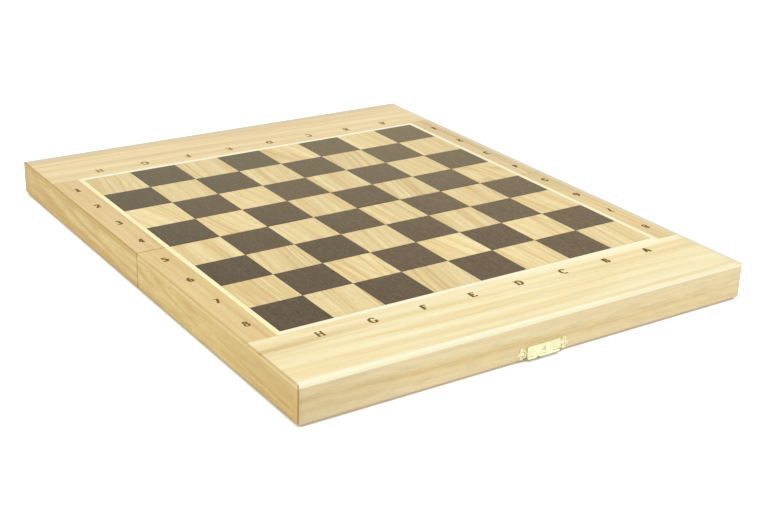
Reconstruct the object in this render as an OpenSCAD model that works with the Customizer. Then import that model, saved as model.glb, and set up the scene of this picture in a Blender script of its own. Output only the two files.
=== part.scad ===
// Folding games board for chess, draughts and backgammon.
// Two shallow trays are hinged at their rims. They lie open and face down here, so that the
// inlaid field on their backs makes one flat board. The near half folds over the far half,
// rim to rim, and a hasp on the near end wall catches a tongue on the far end wall.
// X runs along the fold, Y from the near end to the far end, and the board stands on z = 0.

/* [Playing field] */
// Side of one square
square = 40; // [30:1:60]
// Squares along each side of the field
squares = 8; // [8, 10]
// Width of the pale stringing round the field
string_w = 4; // [2:0.5:8]
// Width of the rail outside the stringing, left and right
side_rail_w = 22; // [16:1:40]
// Width of the rail outside the stringing, at each end
end_rail_w = 64; // [40:1:90]
// Thickness of the outer veneer
veneer_t = 1; // [0.6:0.1:1.5]
// Width of the glue line between two pieces of veneer
glue_line = 0.1; // [0.05:0.05:0.2]

/* [Trays] */
// Thickness of one half, from its rim to the playing surface
half_h = 27.5; // [22:0.5:40]
// Thickness of the side, end and seam walls
wall_t = 9; // [8:0.5:14]
// Part of an end wall's thickness that laps the ends of the side walls
lap_t = 6.7; // [5:0.1:7.5]
// Thickness of the core panel under the field
panel_t = 3; // [2:0.5:5]
// Thickness of the veneer that lines a tray
lining_t = 1; // [0.6:0.1:2]
// Gap between the two halves at the seam, with the board flat
seam_gap = 0.5; // [0.2:0.1:1]
// Gap between the two rims, with the box shut
rim_gap = 0.3; // [0.2:0.1:1]

/* [Rounded edges] */
// Radius of the top edge at each end of the board
end_edge_r = 3; // [1:0.1:3.5]
// Radius of the top edge along the sides
side_edge_r = 1.2; // [0.5:0.1:3]
// Radius of the outer edge of the rims
rim_edge_r = 1.5; // [0.5:0.1:3]
// Radius of the four upright corners
corner_r = 1.5; // [0.5:0.1:4]
// Radius of the upright corners at the seam
seam_corner_r = 1; // [0.3:0.1:2]
// Radius of the eased edges along the seam
arris_r = 0.5; // [0.2:0.1:1]

/* [Backgammon points] */
// Points along each side of one tray
points = 6; // [4:1:8]
// Bare ground between two neighbouring points, at the wall
point_gap = 2; // [1:0.5:6]
// Bare ground between the tips of two facing points
tip_gap = 54; // [20:2:100]

/* [Hinges] */
// Length of a hinge along the seam
hinge_l = 25; // [20:1:40]
// Distance from the side of the board to the middle of a hinge
hinge_inset = 66; // [40:1:100]
// Outer radius of the hinge barrel
barrel_r = 1.4; // [1.2:0.1:2.5]
// Radius of the hinge pin
hinge_pin_r = 0.6; // [0.4:0.05:0.8]
// Thickness of a hinge leaf
leaf_t = 0.8; // [0.6:0.1:1.2]
// Wood left between a leaf and the inside of the seam wall
leaf_margin = 1.5; // [0.5:0.5:3]
// Knuckles on one hinge, shared between its two leaves
knuckles = 5; // [3, 5, 7]
// Gap between two knuckles, side by side
knuckle_gap = 0.1; // [0.05:0.05:0.3]
// Room between a turning piece and what it turns in, on the radius
run_fit = 0.05; // [0.02:0.01:0.1]
// Room round a barrel for the wood and the plates beside it
barrel_clear = 0.2; // [0.1:0.1:0.5]

/* [Hinge screws] */
// Radius of the countersunk head
screw_head_r = 1.5; // [1.2:0.1:1.8]
// Radius of the shank
screw_r = 0.8; // [0.5:0.1:1]
// Length of a screw, from the face of its head
screw_l = 8; // [5:0.5:12]
// Distance from the end of a leaf to its screw
screw_inset = 5; // [3:0.5:6]
// Width and depth of the driver slot
driver_slot = 0.4; // [0.3:0.1:0.5]

/* [Clasp plates] */
// Width of a plate between its ears
plate_w = 27.5; // [22:0.5:40]
// Height of a plate
plate_h = 9.8; // [9:0.1:14]
// Thickness of a plate
plate_t = 0.7; // [0.5:0.1:1.2]
// Radius of the round middle of an ear
ear_r = 3.2; // [2.5:0.1:4]
// Distance from the plate's edge to the middle of an ear
ear_out = 3.15; // [2:0.05:4]
// Radius of the three lobes round an ear
lobe_r = 1.5; // [1:0.1:2]
// Distance of a lobe from the middle of its ear
lobe_out = 3.4; // [2.5:0.1:4]
// Distance from the rim to the middle of an ear
ear_z = 4.9; // [4.9:0.1:6]

/* [Hasp flap and tongue] */
// Thickness of the flap
flap_t = 0.7; // [0.5:0.1:1.2]
// Room between the folded flap and its plate
flap_clear = 0.2; // [0.2:0.1:0.5]
// Distance of the pin outside the folded flap, which lets the flap lean on its plate
flap_lean = 0.1; // [0:0.05:0.3]
// Radius of the two free corners of the flap
flap_corner_r = 1; // [0.3:0.1:2]
// Outer radius of the clasp's barrel
clasp_barrel_r = 1.1; // [1:0.1:1.5]
// Radius of the clasp's pin
clasp_pin_r = 0.5; // [0.4:0.05:0.6]
// Width of the tongue
tongue_w = 2.4; // [1.5:0.1:5]
// Height of the curled tongue
tongue_h = 1.3; // [1:0.1:1.6]
// Thickness of the tongue's metal
tongue_t = 0.6; // [0.4:0.1:0.8]
// How far the tongue stands out of its plate
tongue_out = 3.2; // [2.5:0.1:3.5]
// Distance from the clasp's pin to the tongue, with the box shut
tongue_near = 3.95; // [3.5:0.05:4.5]
// Room round the tongue in the flap's slot
tongue_clear = 0.4; // [0.3:0.05:0.6]

/* [Clasp nails] */
// Radius of a nail's domed head
nail_head_r = 1.5; // [1.2:0.1:2]
// Height of the dome
nail_head_h = 0.7; // [0.5:0.1:1]
// Radius of the shank
nail_r = 0.5; // [0.4:0.05:0.8]
// Length of the shank, from the face of the plate
nail_l = 7; // [4:0.5:8]

/* [Hidden] */
$fn = 64;

// Cuts and trimmed blocks run past the surface by this much
over = 1;

// Plan of the board
field = squares * square;
field_edge = field / 2 + string_w;
board_w = field + 2 * (string_w + side_rail_w);
board_l = field + 2 * (string_w + end_rail_w);
half_gap = seam_gap / 2;
tray_w = board_w - 2 * wall_t;
tray_y0 = half_gap + wall_t;
tray_y1 = board_l / 2 - wall_t;

// Levels, from the surface that the hinge barrels stand on
axis_z = barrel_r;
rim_z = axis_z + rim_gap / 2;
top_z = rim_z + half_h;
veneer_z = top_z - veneer_t;
panel_z = veneer_z - panel_t;
lining_z = panel_z - lining_t;

// Backgammon points
point_pitch = (tray_y1 - tray_y0) / points;
point_base = point_pitch - point_gap;
point_l = (tray_w - tip_gap) / 2;

// Hinges
hinge_x = board_w / 2 - hinge_inset;
knuckle_pitch = hinge_l / knuckles;
leaf_near = barrel_r + barrel_clear;
leaf_far = half_gap + wall_t - leaf_margin;
screw_y = (leaf_near + leaf_far) / 2;

// Clasp, measured outwards from the end wall and upwards from the rim
clasp_knuckles = 5;
clasp_pitch = plate_w / clasp_knuckles;
ear_x = plate_w / 2 + ear_out;
flap_y = plate_t + flap_clear;
clasp_y = flap_y + flap_t + flap_lean;
clasp_z = clasp_barrel_r;
tongue_z = tongue_near - clasp_z - rim_gap;
tongue_rise = plate_t + tongue_out - clasp_y;
slot_near = tongue_near - tongue_clear;
slot_far = sqrt(pow(tongue_near + tongue_h, 2) + pow(tongue_rise, 2)) + tongue_clear;
slot_corner_r = 0.4;
lobe_turn = 70;
nail_dome_r = (pow(nail_head_r, 2) + pow(nail_head_h, 2)) / (2 * nail_head_h);

oak = "#dcb97c";
pale_oak = "#e8cd95";
rosy_oak = "#dcb588";
maple = "#f3e4b8";
wenge = "#4b3c33";
walnut = "#8a5a3a";
brass = "#e2c878";

// Everything below is drawn for the rear half, and mirrored for the front half
module on_half(half) {
    if (half == "front")
        mirror([0, 1, 0]) children();
    else
        children();
}

module on_hand(hand) {
    if (hand == "left")
        mirror([1, 0, 0]) children();
    else
        children();
}

// A block from one corner to the other
module block(low, high) {
    translate(low) cube(high - low);
}

// A rectangle whose corners have their own radii, from the first corner anticlockwise
module round_rect(low, high, radii) {
    corners = [low, [high[0], low[1]], high, [low[0], high[1]]];
    inward = [[1, 1], [-1, 1], [-1, -1], [1, -1]];
    difference() {
        translate(low) square(high - low);
        for (i = [0:3])
            translate(corners[i])
                mirror([inward[i][0] < 0 ? 1 : 0, 0])
                    mirror([0, inward[i][1] < 0 ? 1 : 0])
                        difference() {
                            translate([-over, -over]) square(radii[i] + over);
                            translate([radii[i], radii[i]]) circle(radii[i]);
                        }
    }
}

// One half as a solid block with its edges rounded: three outlines crossed
module half_block() {
    intersection() {
        translate([-board_w / 2 - over, 0, 0])
            rotate([90, 0, 90])
                linear_extrude(board_w + 2 * over)
                    round_rect([half_gap, rim_z], [board_l / 2, top_z],
                        [arris_r, rim_edge_r, end_edge_r, arris_r]);
        translate([0, board_l / 2 + over, 0])
            rotate([90, 0, 0])
                linear_extrude(board_l / 2 + 2 * over)
                    round_rect([-board_w / 2, rim_z], [board_w / 2, top_z],
                        [rim_edge_r, rim_edge_r, side_edge_r, side_edge_r]);
        translate([0, 0, rim_z - over])
            linear_extrude(half_h + 2 * over)
                round_rect([-board_w / 2, half_gap], [board_w / 2, board_l / 2],
                    [seam_corner_r, seam_corner_r, corner_r, corner_r]);
    }
}

// What is left of a piece once the half is rounded over
module trimmed() {
    intersection() {
        half_block();
        children();
    }
}

// End wall, rabbeted at both ends so that it laps the side walls, with the clasp's nail holes
module end_wall(half) {
    color(oak) on_half(half) difference() {
        trimmed()
            block([-board_w / 2 - over, tray_y1, rim_z - over],
                [board_w / 2 + over, board_l / 2 + over, panel_z]);
        for (hand = ["left", "right"])
            on_hand(hand)
                block([tray_w / 2, tray_y1 - over, rim_z - over],
                    [board_w / 2 + over, board_l / 2 - lap_t, panel_z + over]);
        at_clasp() nail_places() nail_shank();
    }
}

// Side wall, from the seam to the lap of the end wall
module side_wall(half, hand) {
    color(oak) on_half(half) on_hand(hand)
        trimmed()
            block([tray_w / 2, half_gap - over, rim_z - over],
                [board_w / 2 + over, board_l / 2 - lap_t, panel_z]);
}

// Seam wall between the side walls, with a mortise, a groove and screw holes for each hinge
module seam_wall(half) {
    color(oak) on_half(half) difference() {
        trimmed()
            block([-tray_w / 2, half_gap - over, rim_z - over],
                [tray_w / 2, tray_y0, panel_z]);
        for (hand = ["left", "right"])
            at_hinge(hand) {
                block([-hinge_l / 2, 0, -over], [hinge_l / 2, leaf_far, rim_gap / 2 + leaf_t]);
                barrel(barrel_r + barrel_clear, hinge_l);
                screw_places() screw_form(over);
            }
    }
}

// Core panel, glued over the tops of the walls
module panel(half) {
    color(pale_oak) on_half(half)
        trimmed()
            block([-board_w / 2 - over, half_gap - over, panel_z],
                [board_w / 2 + over, board_l / 2 + over, veneer_z]);
}

// Rail across the end of the board
module end_rail(half) {
    color(pale_oak) on_half(half)
        trimmed()
            block([-board_w / 2 - over, field_edge + glue_line / 2, veneer_z],
                [board_w / 2 + over, board_l / 2 + over, top_z + over]);
}

// Rail along one side of the field, butted against the end rail
module side_rail(half, hand) {
    color(rosy_oak) on_half(half) on_hand(hand)
        trimmed()
            block([field_edge + glue_line / 2, half_gap - over, veneer_z],
                [board_w / 2 + over, field_edge - glue_line / 2, top_z + over]);
}

// Pale line round three sides of this half of the field
module stringing(half) {
    inner = field / 2 + glue_line / 2;
    outer = field_edge - glue_line / 2;
    color(maple) on_half(half)
        trimmed()
            difference() {
                block([-outer, half_gap - over, veneer_z], [outer, outer, top_z + over]);
                block([-inner, -over, veneer_z - over], [inner, inner, top_z + 2 * over]);
            }
}

// Squares of one shade on one half; the near left square of the board is a dark one
module field_squares(half, dark) {
    first = half == "front" ? 0 : squares / 2;
    intersection() {
        on_half(half) half_block();
        for (file = [0:squares - 1], row = [first:first + squares / 2 - 1])
            if ((file + row) % 2 == (dark ? 0 : 1))
                translate([(file - squares / 2) * square, (row - squares / 2) * square, 0])
                    block([glue_line / 2, glue_line / 2, veneer_z],
                        [square - glue_line / 2, square - glue_line / 2, top_z + over]);
    }
}

module light_squares(half) {
    color(pale_oak) field_squares(half, false);
}

module dark_squares(half) {
    color(wenge) field_squares(half, true);
}

// Outline of one point, with its base on the wall; grow widens it all round, and back carries
// it on behind the wall
module point_outline(grow, back) {
    wide = point_base + grow;
    long = point_l * wide / point_base;
    half_w = wide / 2 * (1 + back / long);
    polygon([[-half_w, -back], [half_w, -back], [0, long]]);
}

// Places of the points of one tray; even ones of the right side match odd ones of the left
module point_places(shades) {
    for (hand = ["left", "right"], i = [0:points - 1])
        if (search([(i + (hand == "left" ? 0 : 1)) % 2], shades) != [[]])
            on_hand(hand)
                translate([tray_w / 2, tray_y0 + (i + 0.5) * point_pitch, lining_z])
                    rotate([0, 0, 90]) children();
}

// Lining of a tray, glued under the panel, with a pocket for each point
module ground(half) {
    color(pale_oak) on_half(half) difference() {
        block([-tray_w / 2, tray_y0, lining_z], [tray_w / 2, tray_y1, panel_z]);
        point_places([0, 1])
            translate([0, 0, -over])
                linear_extrude(lining_t + 2 * over) point_outline(glue_line, over);
    }
}

module brown_points(half) {
    color(walnut) on_half(half)
        point_places([0]) linear_extrude(lining_t) point_outline(0, 0);
}

module dark_points(half) {
    color(wenge) on_half(half)
        point_places([1]) linear_extrude(lining_t) point_outline(0, 0);
}

// Middle of one hinge, on its axis
module at_hinge(hand) {
    translate([hand == "left" ? -hinge_x : hinge_x, 0, axis_z]) children();
}

// A cylinder along X, centred on the axis
module barrel(r, l) {
    translate([-l / 2, 0, 0]) rotate([0, 90, 0]) cylinder(r = r, h = l);
}

// Middles of the knuckles that one piece of a hinge has: the even ones or the odd ones
module knuckle_places(count, pitch, odd) {
    for (i = [odd ? 1 : 0:2:count - 1])
        translate([(i + 0.5 - count / 2) * pitch, 0, 0]) children();
}

// Hinge leaf, let in flush with the rim; the front leaf grips the pin and the rear one turns
module hinge_leaf(half, hand) {
    knuckle_l = knuckle_pitch - knuckle_gap;
    bore_r = half == "front" ? hinge_pin_r : hinge_pin_r + run_fit;
    color(brass) at_hinge(hand) on_half(half) difference() {
        union() {
            block([-hinge_l / 2, leaf_near, rim_gap / 2],
                [hinge_l / 2, leaf_far, rim_gap / 2 + leaf_t]);
            knuckle_places(knuckles, knuckle_pitch, half == "rear") {
                barrel(barrel_r, knuckle_l);
                block([-knuckle_l / 2, 0, rim_gap / 2],
                    [knuckle_l / 2, leaf_near + barrel_clear, rim_gap / 2 + leaf_t]);
            }
        }
        barrel(bore_r, hinge_l + 2 * over);
        screw_places() screw_form(over);
    }
}

module hinge_pin(hand) {
    color(brass) at_hinge(hand) barrel(hinge_pin_r, hinge_l);
}

// Screws of one leaf, driven upwards from the rim
module screw_places() {
    for (side = [-1, 1])
        translate([side * (hinge_l / 2 - screw_inset), screw_y, rim_gap / 2]) children();
}

// Countersunk screw, pointing up; below carries the head's edge on under its face
module screw_form(below = 0) {
    face = below > 0 ? [[0, -below], [screw_head_r, -below]] : [[0, 0]];
    rotate_extrude()
        polygon(concat(face, [[screw_head_r, 0], [screw_r, screw_head_r - screw_r],
            [screw_r, screw_l - screw_r], [0, screw_l]]));
}

module hinge_screws(half) {
    color(brass) for (hand = ["left", "right"])
        at_hinge(hand) on_half(half) screw_places() difference() {
            screw_form();
            block([-screw_head_r - over, -driver_slot / 2, -over],
                [screw_head_r + over, driver_slot / 2, driver_slot]);
        }
}

// Middle of the rim on the outer face of the rear end wall, with Y pointing outwards
module at_clasp() {
    translate([0, board_l / 2, rim_z]) children();
}

// An outline drawn in X and Z, made solid from y0 outwards
module upright(y0, thick) {
    translate([0, y0 + thick, 0]) rotate([90, 0, 0]) linear_extrude(thick) children();
}

// Plate with a three-lobed ear at each end
module clasp_outline() {
    translate([-plate_w / 2, 0]) square([plate_w, plate_h]);
    for (side = [0, 1])
        mirror([side, 0]) translate([ear_x, ear_z]) {
            circle(ear_r);
            for (turn = [-lobe_turn, 0, lobe_turn])
                rotate(turn) translate([lobe_out, 0]) circle(lobe_r);
        }
}

// The two nails of a clasp plate, pointing into the wall
module nail_places() {
    for (side = [-1, 1])
        translate([side * ear_x, plate_t, ear_z]) rotate([-90, 0, 0]) children();
}

// Nail shank, pointing down, carried on a little above the face of the plate when it cuts
module nail_shank(above = 1) {
    rotate_extrude()
        polygon([[0, above], [nail_r, above], [nail_r, nail_r - nail_l], [0, -nail_l]]);
}

module nails(half) {
    color(brass) on_half(half) at_clasp() nail_places() {
        nail_shank(nail_head_h / 2);
        intersection() {
            translate([0, 0, nail_head_h - nail_dome_r]) sphere(nail_dome_r);
            cylinder(r = nail_head_r + over, h = nail_head_h + over);
        }
    }
}

// Line of the clasp's pin
module at_clasp_pin() {
    translate([0, clasp_y, clasp_z]) children();
}

// Room for the knuckles of the other piece, as tall as their barrel
module clasp_windows(odd) {
    knuckle_places(clasp_knuckles, clasp_pitch, odd)
        block([-clasp_pitch / 2 - knuckle_gap / 2, -over, -over],
            [clasp_pitch / 2 + knuckle_gap / 2, clasp_y + clasp_barrel_r + over,
                clasp_z + clasp_barrel_r + barrel_clear]);
}

// Plate of the hasp on the front end wall, whose bottom edge rolls out round the pin
module hasp_plate() {
    knuckle_l = clasp_pitch - knuckle_gap;
    color(brass) on_half("front") at_clasp() difference() {
        union() {
            difference() {
                upright(0, plate_t) clasp_outline();
                clasp_windows(true);
            }
            knuckle_places(clasp_knuckles, clasp_pitch, false) {
                at_clasp_pin() barrel(clasp_barrel_r, knuckle_l);
                block([-knuckle_l / 2, 0, 0], [knuckle_l / 2, clasp_y, plate_t]);
            }
        }
        at_clasp_pin() barrel(clasp_pin_r, plate_w + 2 * over);
        nail_places() nail_shank();
    }
}

// Flap of the hasp, folded up against its plate, with the slot for the tongue
module hasp_flap() {
    knuckle_l = clasp_pitch - knuckle_gap;
    slot_w = tongue_w + 2 * tongue_clear;
    color(brass) on_half("front") at_clasp() difference() {
        union() {
            difference() {
                upright(flap_y, flap_t) difference() {
                    round_rect([-plate_w / 2, clasp_z], [plate_w / 2, plate_h],
                        [0, 0, flap_corner_r, flap_corner_r]);
                    round_rect([-slot_w / 2, clasp_z + slot_near], [slot_w / 2, clasp_z + slot_far],
                        [slot_corner_r, slot_corner_r, slot_corner_r, slot_corner_r]);
                }
                clasp_windows(false);
            }
            knuckle_places(clasp_knuckles, clasp_pitch, true)
                at_clasp_pin() barrel(clasp_barrel_r, knuckle_l);
        }
        at_clasp_pin() barrel(clasp_pin_r + run_fit, plate_w + 2 * over);
    }
}

module hasp_pin() {
    color(brass) on_half("front") at_clasp() at_clasp_pin() barrel(clasp_pin_r, plate_w);
}

// Tongue of the keeper: a tab that runs out and curls away from the rim
module tongue_outline() {
    bend = plate_t + tongue_out - tongue_h;
    translate([0, tongue_z]) square([bend, tongue_t]);
    translate([bend, tongue_z + tongue_h]) intersection() {
        difference() {
            circle(tongue_h);
            circle(tongue_h - tongue_t);
        }
        translate([0, -tongue_h - over]) square(tongue_h + over);
    }
}

// Plate of the keeper on the rear end wall
module keeper_plate() {
    color(brass) on_half("rear") at_clasp() difference() {
        union() {
            upright(0, plate_t) clasp_outline();
            translate([-tongue_w / 2, 0, 0])
                rotate([90, 0, 90]) linear_extrude(tongue_w) tongue_outline();
        }
        nail_places() nail_shank();
    }
}

end_wall("front");  // front_end_wall
side_wall("front", "left");  // front_left_wall
side_wall("front", "right");  // front_right_wall
seam_wall("front");  // front_seam_wall
panel("front");  // front_panel
end_rail("front");  // front_end_rail
side_rail("front", "left");  // front_left_rail
side_rail("front", "right");  // front_right_rail
stringing("front");  // front_stringing
light_squares("front");  // front_light_squares
dark_squares("front");  // front_dark_squares
ground("front");  // front_ground
brown_points("front");  // front_brown_points
dark_points("front");  // front_dark_points
end_wall("rear");  // rear_end_wall
side_wall("rear", "left");  // rear_left_wall
side_wall("rear", "right");  // rear_right_wall
seam_wall("rear");  // rear_seam_wall
panel("rear");  // rear_panel
end_rail("rear");  // rear_end_rail
side_rail("rear", "left");  // rear_left_rail
side_rail("rear", "right");  // rear_right_rail
stringing("rear");  // rear_stringing
light_squares("rear");  // rear_light_squares
dark_squares("rear");  // rear_dark_squares
ground("rear");  // rear_ground
brown_points("rear");  // rear_brown_points
dark_points("rear");  // rear_dark_points
hinge_leaf("front", "left");  // left_hinge_front_leaf
hinge_leaf("rear", "left");  // left_hinge_rear_leaf
hinge_pin("left");  // left_hinge_pin
hinge_leaf("front", "right");  // right_hinge_front_leaf
hinge_leaf("rear", "right");  // right_hinge_rear_leaf
hinge_pin("right");  // right_hinge_pin
hinge_screws("front");  // front_hinge_screws
hinge_screws("rear");  // rear_hinge_screws
hasp_plate();
hasp_flap();
hasp_pin();
nails("front");  // hasp_nails
keeper_plate();
nails("rear");  // keeper_nails
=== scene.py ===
# %% [markdown]
# # A folding games board
#
# The board is a shallow wooden box in two halves. It lies open and face down, so that the inlaid
# field on its back makes one board for chess and draughts, and the backgammon trays face the table.
# The CAD model brings every piece of wood and brass at its real size. This lesson gives each of them
# its finish, adds the burnt-in letters and the stamping on the clasp, and lights the board.
#
# Everything is in metres, in the CAD model's own frame: X runs along the fold, Y from the near end
# to the far end, and Z up. The box of the CAD model is kept.

# %% The frame
import math

import bpy
import numpy as np
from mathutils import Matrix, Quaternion, Vector


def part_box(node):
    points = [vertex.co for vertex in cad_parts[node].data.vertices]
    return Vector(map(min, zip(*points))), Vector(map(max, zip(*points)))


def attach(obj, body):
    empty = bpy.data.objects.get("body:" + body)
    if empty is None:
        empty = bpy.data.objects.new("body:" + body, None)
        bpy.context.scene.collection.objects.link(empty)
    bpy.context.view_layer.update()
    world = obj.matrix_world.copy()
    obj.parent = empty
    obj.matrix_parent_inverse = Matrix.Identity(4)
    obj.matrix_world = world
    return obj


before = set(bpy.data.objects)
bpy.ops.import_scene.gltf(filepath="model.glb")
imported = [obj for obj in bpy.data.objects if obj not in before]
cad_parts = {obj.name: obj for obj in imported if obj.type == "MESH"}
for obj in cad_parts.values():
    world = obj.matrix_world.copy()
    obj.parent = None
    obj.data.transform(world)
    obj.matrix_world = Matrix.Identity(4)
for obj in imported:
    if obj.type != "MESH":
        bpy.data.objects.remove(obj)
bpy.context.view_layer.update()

# %% [markdown]
# ## Sizes that the finishes need
#
# A pattern that follows the inlay has to know where the squares are. Few numbers do it: the square,
# the width of an end rail, and the outline, which is read from the pieces.

# %% Sizes
mm = 0.001
square = 40 * mm
squares = 8
field = squares * square
end_rail_w = 64 * mm
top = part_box("front_end_rail")[1].z
half_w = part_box("front_end_rail")[1].x
half_l = -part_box("front_end_rail")[0].y
print("top", top, "half width", half_w, "half length", half_l)

# %% [markdown]
# ## The camera
#
# The picture was taken from the near left, a little above the board, with a longish lens. The place
# of the lens comes from the picture's vanishing lines, measured from the middle of the field. The
# camera is aimed at a point on the field and then rolled by two degrees, as the picture is.

# %% Camera
camera_place = Vector((-0.54335, -0.83408, 0.4087))
camera_aim = Vector((-0.03506, -0.08919, top))
camera_roll = math.radians(1.96)

camera = bpy.data.objects.new("camera", bpy.data.cameras.new("camera"))
camera.data.lens = 64.12
camera.data.sensor_width = 36.0
camera.rotation_mode = "QUATERNION"
camera.location = camera_place
level = (camera_aim - camera_place).to_track_quat("-Z", "Y")
camera.rotation_quaternion = level @ Quaternion((0, 0, 1), camera_roll)
bpy.context.scene.collection.objects.link(camera)
bpy.context.scene.camera = camera
bpy.context.scene.view_settings.view_transform = "Standard"
sight = camera_aim - camera_place
print("camera looks down by", round(math.degrees(math.asin(-sight.z / sight.length)), 1), "degrees")

# %% [markdown]
# ## Shader maths as Python
#
# A material is a graph of nodes, and a long sum drawn as nodes is hard to read. One small class
# wraps an output socket, so that `1 - wire * 0.5` adds the Math nodes by itself. Every other kind of
# node comes from its one method `node`: the settings are set first, then each socket gets its value
# or its link.

# %% Wires
class Wire:
    """An output socket of a node tree, or just the tree. Operators on it add Math nodes."""

    def __init__(self, tree, socket=None):
        self.tree = tree
        self.socket = socket

    def node(self, kind, settings=None, sockets=None, out=0):
        """Adds a node of that kind and gives one of its outputs."""
        made = self.tree.nodes.new("ShaderNode" + kind)
        for name, value in (settings or {}).items():
            setattr(made, name, value)
        for name, value in (sockets or {}).items():
            if isinstance(value, Wire):
                self.tree.links.new(value.socket, made.inputs[name])
            else:
                made.inputs[name].default_value = value
        return Wire(self.tree, made.outputs[out])

    def other(self, name):
        """Another output of the node that this one comes from."""
        return Wire(self.tree, self.socket.node.outputs[name])

    def math(self, operation, *others):
        """A Math node on this wire and others, or numbers, and its value."""
        return self.node("Math", {"operation": operation}, dict(enumerate((self, *others))))

    def __add__(self, other):
        return self.math("ADD", other)

    def __mul__(self, other):
        return self.math("MULTIPLY", other)

    def __sub__(self, other):
        return self.math("SUBTRACT", other)

    def __rsub__(self, other):
        return self.node("Math", {"operation": "SUBTRACT"}, {0: other, 1: self})

    def __gt__(self, other):
        return self.math("GREATER_THAN", other)

    __radd__ = __add__
    __rmul__ = __mul__


print("operators on a wire: + - * >")

# %% [markdown]
# Colours are written the way a paint chart gives them, as `#rrggbb`, and the renderer wants linear
# light. The first helpers turn one into the other, mix two colours, and darken or tint one by a
# wire. The next ones are masks: wires that are 1 in one place, 0 in another and soft between them.

# %% Colour helpers
def paint(code):
    """A linear colour from #rrggbb: each share is ((s + 0.055) / 1.055) to the power 2.4."""
    shares = [int(code[i:i + 2], 16) / 255 for i in (1, 3, 5)]
    return tuple(((s + 0.055) / 1.055) ** 2.4 if s > 0.04045 else s / 12.92 for s in shares) + (1.0,)


def blend(start, first, second, share):
    """Mixes two colours by a share from 0 to 1."""
    return start.node("Mix", {"data_type": "RGBA"}, {0: share, 6: first, 7: second}, out=2)


def scaled(colour, amount):
    """A colour made darker or lighter by a number that varies."""
    return colour.node("VectorMath", {"operation": "SCALE"}, {0: colour, "Scale": amount})


def tinted(colour, code, share):
    """A colour moved towards #rrggbb by a share that varies."""
    return blend(colour, colour, paint(code), share)


print("pale oak in linear light:", [round(s, 3) for s in paint("#f4e0b4")])

# %% Masks
def step(value, low, high):
    """0 below low, 1 above high, and a smooth rise between them."""
    return value.node("MapRange", {"interpolation_type": "SMOOTHSTEP"},
                      {"Value": value, "From Min": low, "From Max": high})


def close_to(distance, reach):
    """1 where a distance is nothing, and 0 from reach on."""
    return 1.0 - step(distance.math("ABSOLUTE"), reach * 0.35, reach)


def object_xyz(start):
    """The three coordinates of a point on the object, in metres."""
    coords = start.node("TexCoord", out="Object")
    split = start.node("SeparateXYZ", sockets={0: coords})
    return split, split.other("Y"), split.other("Z")

# %% [markdown]
# ## Floor and light
#
# The board lies on a plain white ground in even, soft light, with hardly a shadow: only a thin dark
# line shows under its edges. A white world gives most of the light, and two wide lamps give the
# wood some shape: one high on the right, in front, which the rounded top edge picks up, and one on
# the left, which brightens the long wall there. The camera and the reflections see a white world.

# %% World
world = bpy.data.worlds.new("studio")
world.use_nodes = True
bpy.context.scene.world = world
ambient = 0.86
white = (1.0, 1.0, 1.0, 1.0)


def white_to_see(start):
    """1 for a ray from the camera or one that a shiny or clear surface sends on, 0 for any other."""
    ray = start.node("LightPath", out="Is Camera Ray")
    return ray.math("MAXIMUM", ray.other("Is Glossy Ray")).math("MAXIMUM", ray.other("Is Transmission Ray"))


background = world.node_tree.nodes["Background"]
background.inputs["Color"].default_value = white
strength = white_to_see(Wire(world.node_tree)) * (1.0 - ambient) + ambient
world.node_tree.links.new(strength.socket, background.inputs["Strength"])
print("world gives", ambient, "of a white card's light")

# %% Lamps
def lamp(name, direction, distance, size, share):
    """A square lamp aimed at the board.

    Share is its light on a white card that faces it, which is power / (pi distance)^2.
    """
    made = bpy.data.objects.new(name, bpy.data.lights.new(name, "AREA"))
    made.data.shape = "SQUARE"
    made.data.size = size
    made.data.energy = share * (math.pi * distance) ** 2
    made.location = Vector(direction).normalized() * distance
    made.rotation_mode = "QUATERNION"
    made.rotation_quaternion = Vector(direction).to_track_quat("Z", "Y")
    bpy.context.scene.collection.objects.link(made)
    print(name, "gives", round(made.data.energy, 2), "W")


lamp("high_right", (0.52, -0.42, 0.75), 1.8, 1.0, 0.12)
lamp("left", (-0.75, -0.1, 0.6), 1.8, 1.2, 0.1)

# %% [markdown]
# The floor is a wide matt sheet. To the camera it also glows a little, so that its open parts read
# as plain white, and in reflections it glows just enough to look white there too. The glow fades
# within a few millimetres of whatever stands on it, and under the rims the sheet is painted a warm
# grey as shadow, so the thin dark line under the board stays.
#
# A board that lies face down would hide its trays in the dark. So the floor lets a camera below it
# look through, and inside the board's outline it looks as bright to the wood and the brass above it
# as open floor does. The sheet reaches further back than forwards, so that the diagonal where its two
# triangles meet doesn't run under the board.

# %% Floor
floor_size = 12.0
floor_shift = 2.0
floor_glow = 0.55
reflected_glow = 0.1
floor_white = 0.93
shadow_reach = 4 * mm

mesh = bpy.data.meshes.new("floor")
corners = np.array([(-1, -1, 0), (1, -1, 0), (1, 1, 0), (-1, 1, 0)]) * floor_size / 2
corners = corners + (0, floor_shift, 0)
mesh.from_pydata(corners.tolist(), [], [(0, 1, 2, 3)])
floor = bpy.data.objects.new("floor", mesh)
bpy.context.scene.collection.objects.link(floor)
print("floor", floor_size, "m wide")

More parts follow.
